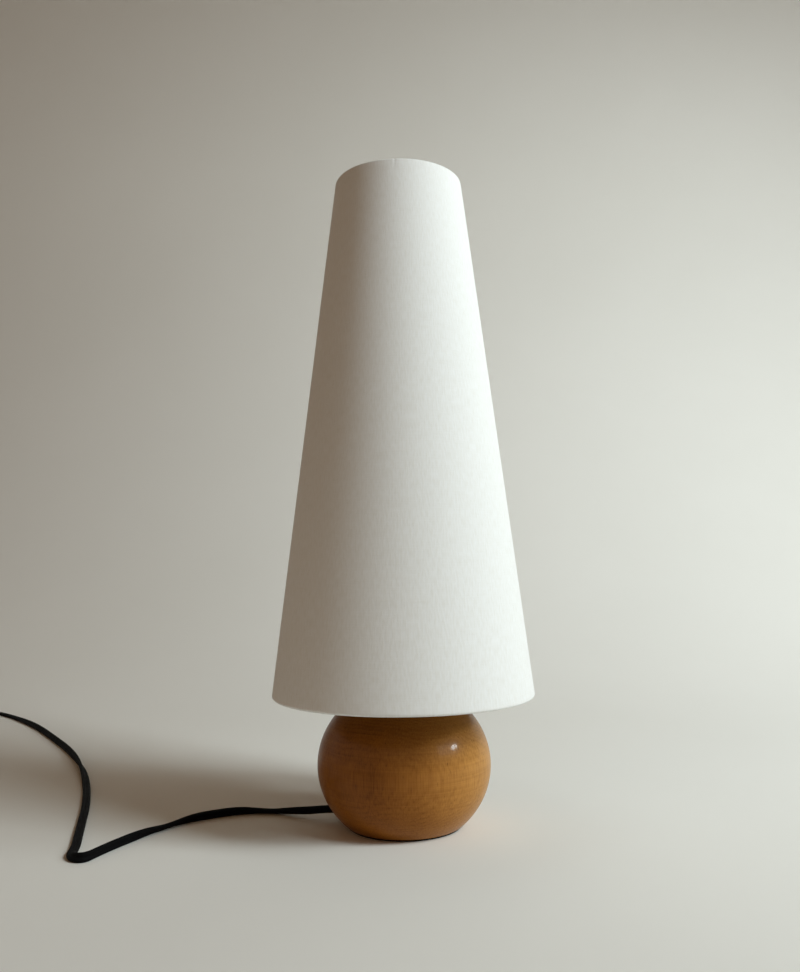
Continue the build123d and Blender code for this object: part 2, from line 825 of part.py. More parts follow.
coil_quarters = round(4 * coil_turns)
coil_end = coil_point(coil_turns)
plug_rear = coil_end - heading * coil_tail
with BuildPart() as cord_coil:
    with BuildLine() as coil_line:
        Line(coil_start, coil_point(0))
        for quarter in range(coil_quarters):
            here = quarter / 4
            there = here + 0.25
            biarc(coil_point(here), coil_way(here), coil_point(there), coil_way(there))
        Line(coil_end, plug_rear)
    with BuildSketch(Plane(origin=coil_start, x_dir=coil_left, z_dir=heading)):
        SlotOverall(cord_w, cord_t)
    sweep()


def coil_gap():
    """Least gap between the coil's turns, on points a few degrees apart."""
    gaps = []
    for step in range(72 * math.floor(coil_turns)):
        here = step / 72
        for there in range(1, math.floor(coil_turns - here) + 1):
            apart = coil_point(here + there) - coil_point(here)
            across = max(0, math.hypot(apart.X, apart.Y) - (cord_w - cord_t))
            gaps.append(math.hypot(across, apart.Z) - cord_t)
    return min(gaps)


cord_section = cord_t * (cord_w - cord_t) + math.pi * cord_t**2 / 4
run_length = run_line.wire().length
coil_length = coil_line.wire().length
print("cord run: radii", [round(radius, 1) for radius in corner_radii])
print("cord run: length", run_length, "volume", cord_run.part.volume)
print("cord run: section by length", cord_section * run_length)
print("coil: length", coil_length, "volume", cord_coil.part.volume)
print("coil: section by length", cord_section * coil_length, "least gap", coil_gap())

tie_angle = coil_start_angle + math.radians(tie_turn_deg)
tie_out = Vector(math.cos(tie_angle), math.sin(tie_angle), 0)
tie_centre = coil_centre + tie_out * coil_mean_r
tie_middle_z = (lower_z + upper_z) / 2
tie_plane = Plane(
    origin=(tie_centre.X, tie_centre.Y, tie_middle_z), x_dir=tie_out, z_dir=(-tie_out.Y, tie_out.X, 0)
)
tie_inner_w = coil_pitch + cord_w + 2 * tie_gap
tie_inner_h = coil_step + cord_t + 2 * tie_gap
with BuildPart() as coil_tie:
    with BuildSketch(tie_plane):
        RectangleRounded(tie_inner_w + 2 * tie_t, tie_inner_h + 2 * tie_t, 2 * tie_t)
        RectangleRounded(tie_inner_w, tie_inner_h, tie_t, mode=Mode.SUBTRACT)
    extrude(amount=tie_w / 2, both=True)

# Plug: a moulded body as thick as lets it lie flat with its cord level, a tapered strain relief behind it,
# and two blades of unlike width
plug_t = 2 * upper_z
plug_way = heading * -1
plug_plane = Plane(origin=plug_rear + plug_way * plug_relief_l, x_dir=plug_way, z_dir=(0, 0, 1))
relief_plane = Plane(origin=plug_rear, x_dir=plug_plane.y_dir, z_dir=plug_way)
with BuildPart() as plug_body:
    with BuildSketch(plug_plane):
        with BuildLine():
            Polyline(
                (0, -plug_rear_w / 2),
                (plug_taper_l, -plug_w / 2),
                (plug_l, -plug_w / 2),
                (plug_l, plug_w / 2),
                (plug_taper_l, plug_w / 2),
                (0, plug_rear_w / 2),
                close=True,
            )
        make_face()
    extrude(amount=plug_t / 2, both=True)
    fillet(plug_body.edges(), plug_round)
    for side in (-1, 1):
        with BuildSketch(plug_plane.offset(side * plug_t / 2)):
            with Locations((plug_taper_l, 0)):
                with GridLocations(grip_pitch, 0, grip_count, 1):
                    SlotOverall(plug_w / 2, grip_w, rotation=90)
        extrude(amount=-side * grip_depth, mode=Mode.SUBTRACT)
    with BuildSketch(relief_plane):
        RectangleRounded(plug_relief_w, plug_relief_t, plug_relief_round)
    with BuildSketch(relief_plane.offset(plug_relief_l + plug_round)):
        RectangleRounded(plug_relief_front_w, plug_relief_front_t, plug_relief_round)
    loft()

with BuildPart() as plug_blades:
    for side, width in ((-1, blade_narrow_w), (1, blade_wide_w)):
        blade_plane = Plane(
            origin=plug_plane.from_local_coords((plug_l, side * blade_spacing / 2, 0)),
            x_dir=plug_plane.x_dir,
            z_dir=plug_plane.y_dir,
        )
        with BuildSketch(blade_plane) as blade:
            with Locations((blade_l / 2, 0)):
                Rectangle(blade_l, width)
            chamfer(blade.vertices().group_by(Axis.X)[-1], blade_chamfer)
            with Locations((blade_l - blade_hole_inset, 0)):
                Circle(blade_hole_r, mode=Mode.SUBTRACT)
        extrude(amount=blade_t / 2, both=True)

pieces = {
    "wood_base": wood_base,
    "felt_pad": felt_pad,
    "lamp_pipe": lamp_pipe,
    "base_washer": base_washer,
    "lock_washer": lock_washer,
    "base_nut": base_nut,
    "check_ring": check_ring,
    "neck": neck,
    "harp_saddle": harp_saddle,
    "harp_hoop": harp_hoop,
    "harp_sleeve_left": harp_sleeve_left,
    "harp_sleeve_right": harp_sleeve_right,
    "harp_stud": harp_stud,
    "finial": finial,
    "socket_cap": socket_cap,
    "cap_set_screw": cap_set_screw,
    "socket_shell": socket_shell,
    "socket_liner": socket_liner,
    "socket_body": socket_body,
    "terminal_screws": terminal_screws,
    "screw_shell": screw_shell,
    "centre_contact": centre_contact,
    "switch_shaft": switch_shaft,
    "switch_knob": switch_knob,
    "bulb_globe": bulb_globe,
    "bulb_cap": bulb_cap,
    "bulb_insulator": bulb_insulator,
    "bulb_tip": bulb_tip,
    "shade_cover": shade_cover,
    "shade_liner": shade_liner,
    "shade_bottom_ring": shade_bottom_ring,
    "shade_spider": shade_spider,
    "cord_bushing": cord_bushing,
    "cord_inner": cord_inner,
    "socket_leads": socket_leads,
    "cord_run": cord_run,
    "cord_coil": cord_coil,
    "coil_tie": coil_tie,
    "plug_body": plug_body,
    "plug_blades": plug_blades,
}
for name, piece in pieces.items():
    piece.part.label = name
    export_step(piece.part, f"parts/{name}.step")
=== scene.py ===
"""Looks for a table lamp: a turned wooden ball, a tall cotton cone and a flat black cord."""

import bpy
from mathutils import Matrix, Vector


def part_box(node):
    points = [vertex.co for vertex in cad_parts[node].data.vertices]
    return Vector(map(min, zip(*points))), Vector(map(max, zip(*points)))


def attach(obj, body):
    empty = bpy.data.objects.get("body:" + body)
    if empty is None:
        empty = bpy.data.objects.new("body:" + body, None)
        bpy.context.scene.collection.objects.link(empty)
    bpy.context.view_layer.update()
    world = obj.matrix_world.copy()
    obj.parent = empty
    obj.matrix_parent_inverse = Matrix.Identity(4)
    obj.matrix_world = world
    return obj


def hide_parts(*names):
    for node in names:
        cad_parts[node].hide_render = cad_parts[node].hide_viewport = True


bl_info = {
    "name": "Turned table lamp",
    "version": (1, 0, 0),
    "blender": (4, 5, 0),
    "location": "View3D > Sidebar > Lamp",
    "description": "Dresses a table lamp's solids: cord, wood, felt, shade, fittings and a plain stage",
    "category": "Object",
}

import math

import bmesh
import bpy
from bpy.props import FloatProperty, IntProperty, PointerProperty, StringProperty
from bpy.types import Operator, Panel, PropertyGroup
from mathutils import Matrix, Vector, noise

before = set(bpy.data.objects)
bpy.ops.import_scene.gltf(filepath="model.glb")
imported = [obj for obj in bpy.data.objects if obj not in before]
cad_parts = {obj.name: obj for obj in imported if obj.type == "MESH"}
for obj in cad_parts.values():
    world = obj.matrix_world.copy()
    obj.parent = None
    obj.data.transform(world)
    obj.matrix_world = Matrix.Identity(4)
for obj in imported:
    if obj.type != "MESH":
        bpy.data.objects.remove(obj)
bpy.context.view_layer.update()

# Camera, as fitted to the shade's and the ball's edges
CAMERA_PLACE = (0.0, -0.6892, 0.2017)
CAMERA_PITCH_DEG = 4.97
CAMERA_ROLL_DEG = -0.59
CAMERA_YAW_DEG = -0.08
CAMERA_LENS_MM = 39.02
CAMERA_SENSOR_MM = 36.0

# Route of the free cord, in metres: out of the ball, over to a tight fold in front, and back past the left
CORD_ROUTE = [
    (-0.04713, 0.00831, 0.0090),
    (-0.05944, 0.01048, 0.0090),
    (-0.0740, 0.0165, 0.0062),
    (-0.0905, 0.0240, 0.00395),
    (-0.1035, 0.0290, 0.00231),
    (-0.1165, 0.0300, 0.00254),
    (-0.1295, 0.0285, 0.00325),
    (-0.1415, 0.0245, 0.00339),
    (-0.1530, 0.0180, 0.00335),
    (-0.1640, 0.0110, 0.00338),
    (-0.1745, 0.0020, 0.00269),
    (-0.1833, -0.0105, 0.00230),
    (-0.1915, -0.0240, 0.00322),
    (-0.1990, -0.0380, 0.00341),
    (-0.2060, -0.0525, 0.00342),
    (-0.2125, -0.0675, 0.00332),
    (-0.2175, -0.0830, 0.00359),
    (-0.2302, -0.0760, 0.00243),
    (-0.2337, -0.0551, 0.00153),
    (-0.2415, -0.0284, 0.00186),
    (-0.2508, 0.0032, 0.00167),
    (-0.2652, 0.0532, 0.00186),
    (-0.2889, 0.1200, 0.00149),
    (-0.3164, 0.1846, 0.00332),
    (-0.3573, 0.2602, 0.00323),
    (-0.4025, 0.3292, 0.00302),
    (-0.4495, 0.3981, 0.00320),
    (-0.4959, 0.4568, 0.00231),
    (-0.5350, 0.4930, 0.00315),
    (-0.5670, 0.5160, 0.00315),
]

# How the flat cord rocks along its run: metres from the ball, and degrees that its wide side stands up
CORD_TWIST = [
    (0.000, 62.0),
    (0.030, 62.0),
    (0.066, 24.0),
    (0.100, 78.0),
    (0.116, 78.0),
    (0.150, 24.0),
    (0.190, 86.0),
    (0.224, 86.0),
    (0.258, 180.0),
    (0.440, 180.0),
    (0.620, 305.0),
    (0.760, 305.0),
    (0.880, 360.0),
]


class LampCordSizes(PropertyGroup):
    """Sizes and colour of the flat cord and its coil."""

    width: FloatProperty(name="Width", description="Width of the twin cord", default=0.0068, unit="LENGTH")
    thickness: FloatProperty(name="Thickness", description="Thickness of one lead", default=0.0035, unit="LENGTH")
    groove: FloatProperty(
        name="Groove", description="Depth of the groove between the leads", default=0.0006, unit="LENGTH"
    )
    length: FloatProperty(name="Length", description="Length from ball to plug", default=1.82, unit="LENGTH")
    coil_radius: FloatProperty(
        name="Coil radius", description="Radius at the middle of the turns", default=0.039, unit="LENGTH"
    )
    coil_pitch: FloatProperty(name="Coil pitch", description="Step between turns", default=0.0075, unit="LENGTH")
    coil_step: FloatProperty(name="Layer step", description="Rise between layers", default=0.0046, unit="LENGTH")
    coil_tail: FloatProperty(name="Tail", description="Straight end at the plug", default=0.036, unit="LENGTH")
    tie_width: FloatProperty(name="Strap width", description="Width of the coil's strap", default=0.008, unit="LENGTH")
    tie_thickness: FloatProperty(
        name="Strap thickness", description="Thickness of the coil's strap", default=0.0008, unit="LENGTH"
    )
    tie_gap: FloatProperty(
        name="Strap slack", description="Room between the strap and the cord", default=0.0006, unit="LENGTH"
    )
    colour: StringProperty(name="Colour", description="sRGB hex colour of the sheath", default="#0A0A0B")
    dust: StringProperty(name="Dust", description="sRGB hex colour of dust on the sheath", default="#232324")


class LampShadeSizes(PropertyGroup):
    """Sizes and colours of the cloth cone."""

    bottom_radius: FloatProperty(name="Bottom radius", description="Lower rim", default=0.1016, unit="LENGTH")
    top_radius: FloatProperty(name="Top radius", description="Upper rim", default=0.0514, unit="LENGTH")
    roll: FloatProperty(name="Roll", description="Radius of the rolled hem", default=0.00205, unit="LENGTH")
    cloth: FloatProperty(name="Cloth", description="Thickness of the cloth", default=0.0005, unit="LENGTH")
    hem_wrap: FloatProperty(
        name="Hem wrap", description="Turn of the cloth round its wire", default=math.radians(170), subtype="ANGLE"
    )
    seam_width: FloatProperty(name="Seam", description="Overlap at the back", default=0.009, unit="LENGTH")
    thread: StringProperty(name="Cloth colour", description="sRGB hex colour of the cloth", default="#F2F2F0")
    slub: StringProperty(name="Slub colour", description="sRGB hex colour of thick threads", default="#E0DDD4")


class LampWoodLook(PropertyGroup):
    """Colours and grain sizes of the turned ball."""

    early: StringProperty(name="Heartwood", description="sRGB hex colour between rings", default="#B06E26")
    # Painted light: a paler wood colour blended in towards the lit right side of the ball (+X), standing in for the
    # light and sheen that fall there
    lit_side: StringProperty(name="Painted lit side", description="sRGB hex colour painted on the lit right side", default="#C08B49")
    late: StringProperty(name="Late wood", description="sRGB hex colour of ring lines", default="#6C3A0B")
    ray: StringProperty(name="Rays", description="sRGB hex colour of the fine dashes", default="#4A280A")
    ring_spacing: FloatProperty(name="Rings", description="Width of a year's growth", default=0.0018, unit="LENGTH")


class LampFeltSizes(PropertyGroup):
    """Sizes and colour of the pad under the ball."""

    # The pad reaches nearly to the ball's rim, so its near-black edge also stands in for the contact shadow under the
    # ball: partly the pad's own colour, partly painted shade
    radius: FloatProperty(name="Radius", description="Radius of the pad", default=0.0439, unit="LENGTH")
    colour: StringProperty(name="Colour", description="sRGB hex colour of the felt", default="#120F0D")
    fuzz: StringProperty(name="Fuzz", description="sRGB hex colour of loose fibres", default="#26211D")


class LampStageLook(PropertyGroup):
    """Light and colours of the stage."""

    paper: StringProperty(name="Paper", description="sRGB hex colour of floor and backdrop", default="#F3F1EB")
    cloud: StringProperty(name="Paper mottle", description="sRGB hex colour of the paper's mottle", default="#EDEBE4")
    daylight: StringProperty(name="Daylight", description="sRGB hex colour of the window's light", default="#F0FCFF")
    warmth: StringProperty(name="Bounced light", description="sRGB hex colour of the room's light", default="#FFC890")
    key_power: FloatProperty(
        name="Key light", description="Power of the window-like light", default=20.9, unit="POWER"
    )
    spark_power: FloatProperty(
        name="Spark", description="Power of the bright patch in the window", default=7.9, unit="POWER"
    )
    wash_power: FloatProperty(
        name="Backdrop light", description="Power of the light on the paper alone", default=10.5, unit="POWER"
    )
    fill_power: FloatProperty(
        name="Fill", description="Power of the warm light from the shaded side", default=1.0, unit="POWER"
    )
    room: StringProperty(name="Room", description="sRGB hex colour of the room past the paper", default="#B4B1AA")
    sky: FloatProperty(name="Room light", description="Strength of the light from all round", default=0.105)
    segments: IntProperty(name="Sweep steps", description="Steps in the backdrop's curve", default=24)


GROUPS = {
    "lamp_cord": LampCordSizes,
    "lamp_shade": LampShadeSizes,
    "lamp_wood": LampWoodLook,
    "lamp_felt": LampFeltSizes,
    "lamp_stage": LampStageLook,
}


def linear(hex_colour):
    """Linear RGBA of an sRGB hex colour."""
    channels = [int(hex_colour[at : at + 2], 16) / 255 for at in (1, 3, 5)]
    return [c / 12.92 if c <= 0.04045 else ((c + 0.055) / 1.055) ** 2.4 for c in channels] + [1.0]


def add(tree, kind, inputs=None, **settings):
    """Adds a node with its settings, and gives each named input a value or a link."""
    node = tree.nodes.new(kind)
    for name, value in settings.items():
        setattr(node, name, value)
    for name, value in (inputs or {}).items():
        if isinstance(value, bpy.types.NodeSocket):
            tree.links.new(value, node.inputs[name])
        else:
            node.inputs[name].default_value = value
    return node


def new_material(name, **constants):
    """A material with one Principled shader, whose constants sit on its own sockets."""
    material = bpy.data.materials.new(name)
    material.use_nodes = True
    tree = material.node_tree
    tree.nodes.clear()
    values = {key.replace("_", " "): value for key, value in constants.items()}
    shader = add(tree, "ShaderNodeBsdfPrincipled", values)
    add(tree, "ShaderNodeOutputMaterial", {"Surface": shader.outputs["BSDF"]})
    return material, tree, shader


def dress(material, *names):
    """Gives a material to solids that keep their own shape."""
    for name in names:
        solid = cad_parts[name]
        solid.data.materials.clear()
        solid.data.materials.append(material)


def new_piece(name, bm, material):
    """Turns a bmesh into a smooth object in the lamp's frame."""
    mesh = bpy.data.meshes.new(name)
    bm.normal_update()
    bm.to_mesh(mesh)
    bm.free()
    mesh.materials.append(material)
    for polygon in mesh.polygons:
        polygon.use_smooth = True
    piece = bpy.data.objects.new(name, mesh)
    bpy.context.scene.collection.objects.link(piece)
    return piece


def join_rings(bm, rings):
    """Joins each ring of points to the next with a band of faces."""
    for ring, following in zip(rings, rings[1:]):
        for side in range(len(ring)):
            beside = (side + 1) % len(ring)
            bm.faces.new((ring[side], ring[beside], following[beside], following[side]))


def close_tube(bm, rings):
    """Joins rings of points to a tube with closed ends."""
    join_rings(bm, rings)
    bm.faces.new(list(reversed(rings[0])))
    bm.faces.new(rings[-1])


def smoothstep(low, high, value):
    """0 below low, 1 above high, and an even ease between."""
    share = min(1.0, max(0.0, (value - low) / (high - low)))
    return share * share * (3 - 2 * share)


def turned_maple(look):
    """Turned maple, stained honey brown and lacquered to a satin sheen."""
    # It gives the eye faint growth rings that close to ovals, upright fibres and flecks, and fine lathe lines
    material, tree, shader = new_material(
        # It also has painted light and shade: the wood is paler towards the lit right side and darker towards the
        # shaded left
        "turned_maple_satin_lacquer", Specular_IOR_Level=0.06, Coat_Weight=0.17, Coat_Roughness=0.1
    )
    # Sizes in metres
    pith, pith_stretch = (-0.009, -0.013, 0.0), (1.0, 1.0, 0.06)
    drift, drift_spacing = 0.0055, 0.036
    ripple, ripple_spacing = 0.0011, 0.010
    mottle_spacing = 0.022
    fibre_width, fibre_length = 0.0009, 0.018
    lathe_width, lathe_length = 0.0010, 1 / 14
    fleck_width, fleck_length = 0.0008, 0.0055
    # Painted light and shade across the ball, along X: darker from the shaded left, paler up to the lit right
    lit_side_start, lit_side_end = -0.02, 0.065
    # Shares of the darker colour that each mark adds
    ring_share, fibre_share, lathe_share, mottle_share = 0.13, 0.8, 0.46, 0.35
    # Painted shade on the left side and painted light on the right side; the second share is negative, so it pales the
    # wood
    shaded_side_share, lit_side_share = 0.18, -0.42
    even_share = -0.36
    fleck_share = 0.6

    place = add(tree, "ShaderNodeTexCoord").outputs["Object"]
    stem = add(tree, "ShaderNodeMapping", {"Vector": place, "Location": pith, "Scale": pith_stretch})
    reach = add(tree, "ShaderNodeVectorMath", {0: stem.outputs[0]}, operation="LENGTH")
    wander = add(tree, "ShaderNodeTexNoise", {"Vector": place, "Scale": 1 / drift_spacing, "Detail": 2.0})
    drifted = add(
        tree,
        "ShaderNodeMath",
        {0: wander.outputs["Fac"], 1: drift, 2: reach.outputs["Value"]},
        operation="MULTIPLY_ADD",
    )
    waves = add(tree, "ShaderNodeTexNoise", {"Vector": place, "Scale": 1 / ripple_spacing, "Detail": 2.0})
    wavy = add(
        tree,
        "ShaderNodeMath",
        {0: waves.outputs["Fac"], 1: ripple, 2: drifted.outputs[0]},
        operation="MULTIPLY_ADD",
    )
    years = add(
        tree, "ShaderNodeMath", {0: wavy.outputs[0], 1: 2 * math.pi / look.ring_spacing}, operation="MULTIPLY"
    )
    season = add(tree, "ShaderNodeMath", {0: years.outputs[0]}, operation="SINE")
    mottle = add(tree, "ShaderNodeTexNoise", {"Vector": place, "Scale": 1 / mottle_spacing, "Detail": 3.0})
    patch = add(
        tree,
        "ShaderNodeMapRange",
        {"Value": mottle.outputs["Fac"], "From Min": 0.3, "From Max": 0.65, "To Max": ring_share},
    )
    ring = add(
        tree,
        "ShaderNodeMapRange",
        {"Value": season.outputs[0], "From Min": -0.3, "From Max": 1.0, "To Max": patch.outputs[0]},
    )

    fibre_scale = (1 / fibre_width, 1 / fibre_width, 1 / fibre_length)
    fibre_place = add(tree, "ShaderNodeMapping", {"Vector": place, "Scale": fibre_scale})
    fibre = add(tree, "ShaderNodeTexNoise", {"Vector": fibre_place.outputs[0], "Scale": 1.0, "Detail": 3.0})
    lathe_scale = (1 / lathe_length, 1 / lathe_length, 1 / lathe_width)
    lathe_place = add(tree, "ShaderNodeMapping", {"Vector": place, "Scale": lathe_scale})
    lathe = add(tree, "ShaderNodeTexNoise", {"Vector": lathe_place.outputs[0], "Scale": 1.0, "Detail": 3.0})
    tone = add(
        tree,
        "ShaderNodeMath",
        {0: fibre.outputs["Fac"], 1: fibre_share, 2: even_share},
        operation="MULTIPLY_ADD",
    )
    turned = add(
        tree,
        "ShaderNodeMath",
        {0: lathe.outputs["Fac"], 1: lathe_share, 2: tone.outputs[0]},
        operation="MULTIPLY_ADD",
    )
    cloudy = add(
        tree,
        "ShaderNodeMath",
        {0: mottle.outputs["Fac"], 1: mottle_share, 2: turned.outputs[0]},
        operation="MULTIPLY_ADD",
    )
    ringed = add(tree, "ShaderNodeMath", {0: ring.outputs[0], 1: cloudy.outputs[0]}, operation="ADD")

    # Painted light and shade: a ramp along X (outer) darkens the wood on the shaded left and pales it, with the
    # lit-side colour, on the lit right
    across = add(tree, "ShaderNodeSeparateXYZ", {0: place}).outputs["X"]
    outer = add(tree, "ShaderNodeMapRange", {"Value": across, "From Min": lit_side_start, "From Max": lit_side_end})
    painted_side_light = add(
        tree,
        "ShaderNodeMapRange",
        {"Value": outer.outputs[0], "To Min": shaded_side_share, "To Max": lit_side_share},
    )
    depth = add(
        tree, "ShaderNodeMath", {0: painted_side_light.outputs[0], 1: ringed.outputs[0]}, operation="ADD", use_clamp=True
    )
    early = add(
        tree,
        "ShaderNodeMix",
        {0: outer.outputs[0], 6: linear(look.early), 7: linear(look.lit_side)},
        data_type="RGBA",
    )
    grain = add(
        tree,
        "ShaderNodeMix",
        {0: depth.outputs[0], 6: early.outputs[2], 7: linear(look.late)},
        data_type="RGBA",
    )
    fleck_scale = (1 / fleck_width, 1 / fleck_width, 1 / fleck_length)
    fleck_place = add(tree, "ShaderNodeMapping", {"Vector": place, "Scale": fleck_scale})
    fleck = add(tree, "ShaderNodeTexNoise", {"Vector": fleck_place.outputs[0], "Scale": 1.0, "Detail": 0.0})
    flecks = add(
        tree,
        "ShaderNodeMapRange",
        {"Value": fleck.outputs["Fac"], "From Min": 0.76, "From Max": 0.86, "To Max": fleck_share},
    )
    stain = add(
        tree,
        "ShaderNodeMix",
        {0: flecks.outputs[0], 6: grain.outputs[2], 7: linear(look.ray)},
        data_type="RGBA",
    )
    tree.links.new(stain.outputs[2], shader.inputs["Base Color"])
    smoothest, roughest = 0.28, 0.4
    gloss = add(
        tree,
        "ShaderNodeMapRange",
        {"Value": fibre.outputs["Fac"], "From Min": 0.3, "From Max": 0.7, "To Min": smoothest, "To Max": roughest},
    )
    tree.links.new(gloss.outputs[0], shader.inputs["Roughness"])
    relief = add(tree, "ShaderNodeMath", {0: lathe.outputs["Fac"], 1: fibre.outputs["Fac"]}, operation="ADD")
    bump = add(tree, "ShaderNodeBump", {"Height": relief.outputs[0], "Strength": 0.09, "Distance": 0.0004})
    tree.links.new(bump.outputs[0], shader.inputs["Normal"])
    return material


def laminated_cotton(look):
    """White cotton bonded to a stiff sheet."""
    # It gives the eye a dry, even white with short upright slubs over a fine plain weave. The real threads
    # are about 0.3 mm apart, too fine to show here, so they are drawn about 1 mm apart.
    material, tree, shader = new_material(
        "white_cotton_laminated", Roughness=0.92, Sheen_Weight=0.06, Specular_IOR_Level=0.3
    )
    warp_width, warp_length = 0.0011, 0.007
    weft_width, weft_length = 0.0009, 0.014
    threads = add(tree, "ShaderNodeUVMap", uv_map="threads").outputs[0]
    warp_scale = (1 / warp_width, 1 / warp_length, 1.0)
    warp_place = add(tree, "ShaderNodeMapping", {"Vector": threads, "Scale": warp_scale})
    warp = add(tree, "ShaderNodeTexNoise", {"Vector": warp_place.outputs[0], "Scale": 1.0, "Detail": 4.0})
    weft_scale = (1 / weft_length, 1 / weft_width, 1.0)
    weft_place = add(tree, "ShaderNodeMapping", {"Vector": threads, "Scale": weft_scale})
    weft = add(tree, "ShaderNodeTexNoise", {"Vector": weft_place.outputs[0], "Scale": 1.0, "Detail": 2.0})
    weave = add(
        tree,
        "ShaderNodeMath",
        {0: weft.outputs["Fac"], 1: 0.25, 2: warp.outputs["Fac"]},
        operation="MULTIPLY_ADD",
    )
    slub = add(
        tree,
        "ShaderNodeMapRange",
        {"Value": weave.outputs[0], "From Min": 0.5, "From Max": 0.95, "To Max": 0.5},
    )
    shades = {0: slub.outputs[0], 6: linear(look.thread), 7: linear(look.slub)}
    cloth = add(tree, "ShaderNodeMix", shades, data_type="RGBA")
    tree.links.new(cloth.outputs[2], shader.inputs["Base Color"])
    bump = add(tree, "ShaderNodeBump", {"Height": weave.outputs[0], "Strength": 0.32, "Distance": 0.0003})
    tree.links.new(bump.outputs[0], shader.inputs["Normal"])
    return material


def wool_felt(look):
    """Pressed wool felt."""
    # It gives the eye a dark, dry, fuzzy edge with short fibres lying all ways. Its near-black also stands in for the
    # contact shadow under the ball, which is painted shade.
    material, tree, shader = new_material(
        "pressed_wool_felt", Roughness=1.0, Sheen_Weight=0.08, Specular_IOR_Level=0.1
    )
    fibre_spacing = 0.0012
    place = add(tree, "ShaderNodeTexCoord").outputs["Object"]
    fibre = add(
        tree,
        "ShaderNodeTexNoise",
        {"Vector": place, "Scale": 1 / fibre_spacing, "Detail": 5.0, "Distortion": 1.5},
    )
    shades = {0: fibre.outputs["Fac"], 6: linear(look.colour), 7: linear(look.fuzz)}
    tint = add(tree, "ShaderNodeMix", shades, data_type="RGBA")
    tree.links.new(tint.outputs[2], shader.inputs["Base Color"])
    bump = add(tree, "ShaderNodeBump", {"Height": fibre.outputs["Fac"], "Strength": 0.7, "Distance": 0.0004})
    tree.links.new(bump.outputs[0], shader.inputs["Normal"])
    return material


def vinyl_sheath(look):
    """Extruded black vinyl."""
    # It gives the eye a near-black, almost matt skin with a fine grit and a trace of dust
    material, tree, shader = new_material("extruded_vinyl", IOR=1.53, Specular_IOR_Level=0.06)
    dust_spacing = 0.009
    grit_spacing = 0.0016
    place = add(tree, "ShaderNodeTexCoord").outputs["Object"]
    dust = add(tree, "ShaderNodeTexNoise", {"Vector": place, "Scale": 1 / dust_spacing, "Detail": 5.0})
    film = add(
        tree, "ShaderNodeMapRange", {"Value": dust.outputs["Fac"], "From Min": 0.5, "From Max": 0.85, "To Max": 0.1}
    )
    shades = {0: film.outputs[0], 6: linear(look.colour), 7: linear(look.dust)}
    tint = add(tree, "ShaderNodeMix", shades, data_type="RGBA")
    tree.links.new(tint.outputs[2], shader.inputs["Base Color"])
    wear = add(
        tree,
        "ShaderNodeMapRange",
        {"Value": dust.outputs["Fac"], "From Min": 0.3, "From Max": 0.7, "To Min": 0.7, "To Max": 0.85},
    )
    tree.links.new(wear.outputs[0], shader.inputs["Roughness"])
    grit = add(tree, "ShaderNodeTexNoise", {"Vector": place, "Scale": 1 / grit_spacing, "Detail": 2.0})
    bump = add(tree, "ShaderNodeBump", {"Height": grit.outputs["Fac"], "Strength": 0.12, "Distance": 0.0002})
    tree.links.new(bump.outputs[0], shader.inputs["Normal"])
    return material


def worked_metal(name, bright, dull, roughness, grit, stretch=(1.0, 1.0, 1.0)):
    """A metal skin whose tone and polish vary along the marks of its making."""
    material, tree, shader = new_material(name, Metallic=1.0)
    place = add(tree, "ShaderNodeTexCoord").outputs["Object"]
    marks_scale = [side / grit for side in stretch]
    marks_place = add(tree, "ShaderNodeMapping", {"Vector": place, "Scale": marks_scale})
    marks = add(tree, "ShaderNodeTexNoise", {"Vector": marks_place.outputs[0], "Scale": 1.0, "Detail": 4.0})
    shades = {0: marks.outputs["Fac"], 6: linear(bright), 7: linear(dull)}
    tint = add(tree, "ShaderNodeMix", shades, data_type="RGBA")
    tree.links.new(tint.outputs[2], shader.inputs["Base Color"])
    smoothest, roughest = roughness * 0.75, roughness * 1.3
    polish = add(
        tree,
        "ShaderNodeMapRange",
        {"Value": marks.outputs["Fac"], "From Min": 0.3, "From Max": 0.7, "To Min": smoothest, "To Max": roughest},
    )
    tree.links.new(polish.outputs[0], shader.inputs["Roughness"])
    bump = add(tree, "ShaderNodeBump", {"Height": marks.outputs["Fac"], "Strength": 0.05, "Distance": 0.0002})
    tree.links.new(bump.outputs[0], shader.inputs["Normal"])
    return material


def dull_skin(name, main, other, roughness, grit, relief, **constants):
    """A plain non-metal skin with the mottle and grit of its making."""
    material, tree, shader = new_material(name, Roughness=roughness, **constants)
    place = add(tree, "ShaderNodeTexCoord").outputs["Object"]
    speck = add(tree, "ShaderNodeTexNoise", {"Vector": place, "Scale": 1 / grit, "Detail": 5.0})
    shades = {0: speck.outputs["Fac"], 6: linear(main), 7: linear(other)}
    tint = add(tree, "ShaderNodeMix", shades, data_type="RGBA")
    tree.links.new(tint.outputs[2], shader.inputs["Base Color"])
    bump = add(tree, "ShaderNodeBump", {"Height": speck.outputs["Fac"], "Strength": relief, "Distance": 0.0003})
    tree.links.new(bump.outputs[0], shader.inputs["Normal"])
    return material


def spline_line(route, steps):
    """Points along the smooth line that a route's points steer."""
    curve = bpy.data.curves.new("cord_route", "CURVE")
    curve.dimensions = "3D"
    spline = curve.splines.new("NURBS")
    spline.points.add(len(route) - 1)
    for point, place in zip(spline.points, route):
        point.co = (*place, 1.0)
    spline.order_u = 3
    spline.use_endpoint_u = True
    spline.resolution_u = steps
    holder = bpy.data.objects.new("cord_route", curve)
    mesh = bpy.data.meshes.new_from_object(holder)
    line = [vertex.co.copy() for vertex in mesh.vertices]
    bpy.data.objects.remove(holder)
    bpy.data.curves.remove(curve)
    bpy.data.meshes.remove(mesh)
    # A point that lies on the one before it is left out
    apart = 1e-6
    return line[:1] + [point for last, point in zip(line, line[1:]) if (point - last).length > apart]


